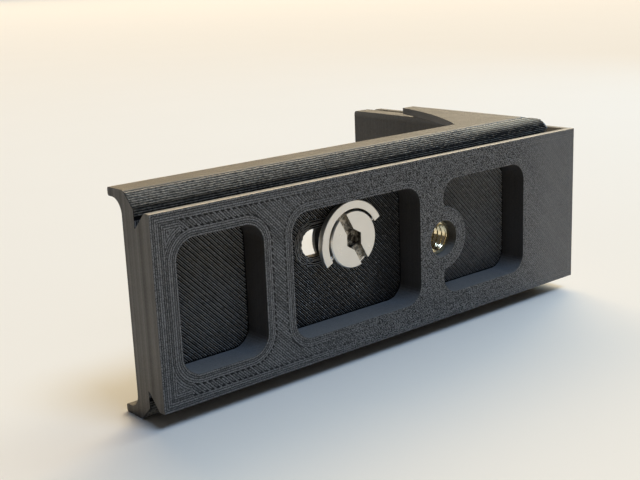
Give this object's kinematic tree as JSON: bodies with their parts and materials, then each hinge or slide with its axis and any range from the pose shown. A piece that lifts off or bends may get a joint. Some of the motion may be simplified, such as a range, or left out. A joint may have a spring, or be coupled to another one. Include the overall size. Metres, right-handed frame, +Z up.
{
  "type": "camera l-bracket",
  "caption": "L-shaped camera bracket with a clamping dovetail along base and leg, guiding lips, a captive screw with a folding ring in a slot and a threaded brass insert.",
  "frame": {"origin": "centre of the bounding box, on the surface that the lower lips rest on", "axes": "+X along the base towards the leg, +Y from the base's outer face to the camera, +Z up across the dovetail"},
  "size_m": [0.123, 0.0708, 0.0448],
  "materials": {
    "printed_plastic": "matte black print with fine layer lines",
    "insert_brass": "bright machined brass",
    "screw_steel": "satin",
    "ring_steel": "satin",
    "washer_plastic": "dark grey, satin"
  },
  "bodies": {
    "bracket": {"bracket": "printed_plastic", "tripod_insert": "insert_brass"},
    "slider": {"retaining_washer": "washer_plastic"},
    "screw": {"camera_screw": "screw_steel"},
    "ring": {"folding_ring": "ring_steel"}
  },
  "joints": [
    {"name": "screw_slide", "type": "slide", "parent": "bracket", "child": "slider", "axis": [1, 0, 0], "range_m": [-0.0088, 0]},
    {"name": "screw_turn", "type": "hinge", "parent": "slider", "child": "screw", "pos_m": [-0.0102, -0.0262, 0.0264], "axis": [0, 1, 0], "continuous": true},
    {"name": "ring_fold", "type": "hinge", "parent": "screw", "child": "ring", "pos_m": [-0.0102, -0.03115, 0.0264], "axis": [0.8746, 0, 0.4848], "range_deg": [0, 180]}
  ]
}
